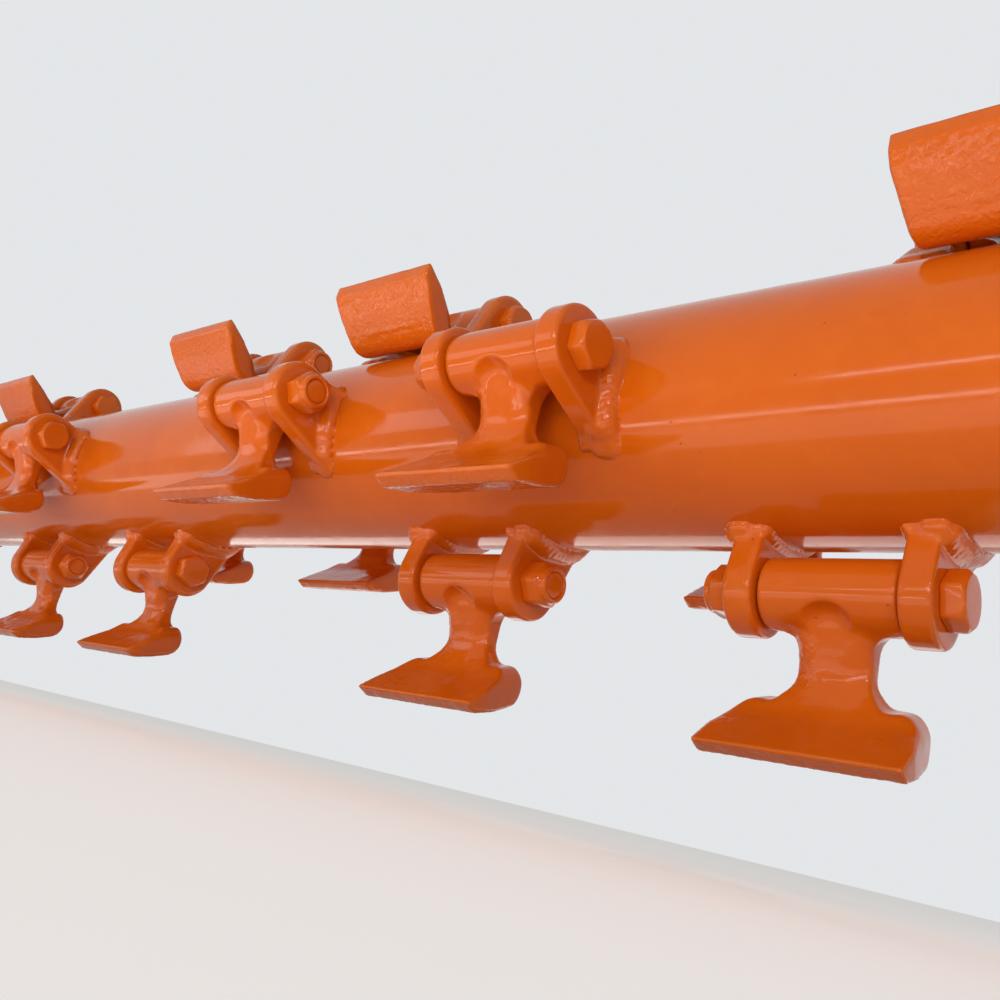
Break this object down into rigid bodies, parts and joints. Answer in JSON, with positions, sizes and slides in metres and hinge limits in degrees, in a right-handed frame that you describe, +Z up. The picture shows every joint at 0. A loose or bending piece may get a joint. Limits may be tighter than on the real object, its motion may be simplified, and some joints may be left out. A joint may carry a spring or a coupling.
{
  "type": "mulcher hammer rotor",
  "caption": "Steel tube rotor with T-shaped swinging hammers bolted between welded clevis lugs on four staggered rows, in flanged end bearings.",
  "frame": {"origin": "on the rotor's axis, at the mounting face of the left bearing flange", "axes": "+X along the rotor's axis to the driven right end, -Y the front the picture looks at, +Z up"},
  "size_m": [1.811, 0.2971, 0.3588],
  "materials": {
    "drum_paint": "glossy sprayed orange enamel over steel tube and welds",
    "hammer_paint": "glossy sprayed orange enamel over forged steel",
    "fastener_paint": "glossy sprayed orange enamel over bolts and nuts",
    "housing_paint": "sprayed orange enamel over cast iron",
    "shaft_steel": "turned bare steel",
    "bearing_steel": "ground bearing steel",
    "nipple_zinc": "zinc plated steel"
  },
  "bodies": {
    "bearings": {"bearing_housing_left": "housing_paint", "bearing_housing_right": "housing_paint", "bearing_left": "bearing_steel", "bearing_right": "bearing_steel", "bearing_cover_left": "housing_paint", "bearing_cover_right": "housing_paint", "grease_nipple_left": "nipple_zinc", "grease_nipple_right": "nipple_zinc"},
    "rotor": {"rotor_tube": "drum_paint", "end_disc_left": "drum_paint", "end_disc_right": "drum_paint", "stub_shaft_left": "shaft_steel", "stub_shaft_right": "shaft_steel", "shaft_bolts_left": "fastener_paint", "shaft_bolts_right": "fastener_paint", "lugs_row_a": "drum_paint", "lugs_row_b": "drum_paint", "lugs_row_c": "drum_paint", "lugs_row_d": "drum_paint", "hammer_bolts": "fastener_paint", "hammer_nuts": "fastener_paint"},
    "hammer_01": {"hammer_01": "hammer_paint"},
    "hammer_02": {"hammer_02": "hammer_paint"},
    "hammer_03": {"hammer_03": "hammer_paint"},
    "hammer_04": {"hammer_04": "hammer_paint"},
    "hammer_05": {"hammer_05": "hammer_paint"},
    "hammer_06": {"hammer_06": "hammer_paint"},
    "hammer_07": {"hammer_07": "hammer_paint"},
    "hammer_08": {"hammer_08": "hammer_paint"},
    "hammer_09": {"hammer_09": "hammer_paint"},
    "hammer_10": {"hammer_10": "hammer_paint"},
    "hammer_11": {"hammer_11": "hammer_paint"},
    "hammer_12": {"hammer_12": "hammer_paint"},
    "hammer_13": {"hammer_13": "hammer_paint"},
    "hammer_14": {"hammer_14": "hammer_paint"},
    "hammer_15": {"hammer_15": "hammer_paint"},
    "hammer_16": {"hammer_16": "hammer_paint"}
  },
  "joints": [
    {"name": "rotor_spin", "type": "hinge", "parent": "bearings", "child": "rotor", "pos_m": [0, 0, 0], "axis": [1, 0, 0], "continuous": true},
    {"name": "hammer_01_swing", "type": "hinge", "parent": "rotor", "child": "hammer_01", "pos_m": [0.097, 0.11597, -0.00283], "axis": [-1, 0, 0], "range_deg": [-201.04, 24.25]},
    {"name": "hammer_02_swing", "type": "hinge", "parent": "rotor", "child": "hammer_02", "pos_m": [0.191, -0.11597, 0.00283], "axis": [-1, 0, 0], "range_deg": [-21.04, 164]},
    {"name": "hammer_03_swing", "type": "hinge", "parent": "rotor", "child": "hammer_03", "pos_m": [0.285, 0.00283, 0.11597], "axis": [-1, 0, 0], "range_deg": [0, 225.29]},
    {"name": "hammer_04_swing", "type": "hinge", "parent": "rotor", "child": "hammer_04", "pos_m": [0.379, -0.00283, -0.11597], "axis": [-1, 0, 0], "range_deg": [-111.04, 83]},
    {"name": "hammer_05_swing", "type": "hinge", "parent": "rotor", "child": "hammer_05", "pos_m": [0.473, -0.11597, 0.00283], "axis": [-1, 0, 0], "range_deg": [-21.04, 204.25]},
    {"name": "hammer_06_swing", "type": "hinge", "parent": "rotor", "child": "hammer_06", "pos_m": [0.567, 0.11597, -0.00283], "axis": [-1, 0, 0], "range_deg": [-201.04, 19.3]},
    {"name": "hammer_07_swing", "type": "hinge", "parent": "rotor", "child": "hammer_07", "pos_m": [0.661, -0.00283, -0.11597], "axis": [-1, 0, 0], "range_deg": [-83.5, 114.25]},
    {"name": "hammer_08_swing", "type": "hinge", "parent": "rotor", "child": "hammer_08", "pos_m": [0.755, 0.00283, 0.11597], "axis": [-1, 0, 0], "range_deg": [0, 220.34]},
    {"name": "hammer_09_swing", "type": "hinge", "parent": "rotor", "child": "hammer_09", "pos_m": [0.849, 0.11597, -0.00283], "axis": [-1, 0, 0], "range_deg": [-201.04, 24.25]},
    {"name": "hammer_10_swing", "type": "hinge", "parent": "rotor", "child": "hammer_10", "pos_m": [0.943, -0.11597, 0.00283], "axis": [-1, 0, 0], "range_deg": [-21.04, 164]},
    {"name": "hammer_11_swing", "type": "hinge", "parent": "rotor", "child": "hammer_11", "pos_m": [1.037, 0.00283, 0.11597], "axis": [-1, 0, 0], "range_deg": [0, 225.29]},
    {"name": "hammer_12_swing", "type": "hinge", "parent": "rotor", "child": "hammer_12", "pos_m": [1.131, -0.00283, -0.11597], "axis": [-1, 0, 0], "range_deg": [-111.04, 83]},
    {"name": "hammer_13_swing", "type": "hinge", "parent": "rotor", "child": "hammer_13", "pos_m": [1.225, -0.11597, 0.00283], "axis": [-1, 0, 0], "range_deg": [-21.04, 204.25]},
    {"name": "hammer_14_swing", "type": "hinge", "parent": "rotor", "child": "hammer_14", "pos_m": [1.319, 0.11597, -0.00283], "axis": [-1, 0, 0], "range_deg": [-201.04, 19.3]},
    {"name": "hammer_15_swing", "type": "hinge", "parent": "rotor", "child": "hammer_15", "pos_m": [1.413, -0.00283, -0.11597], "axis": [-1, 0, 0], "range_deg": [-83.5, 114.25]},
    {"name": "hammer_16_swing", "type": "hinge", "parent": "rotor", "child": "hammer_16", "pos_m": [1.507, 0.00283, 0.11597], "axis": [-1, 0, 0], "range_deg": [0, 220.34]}
  ]
}
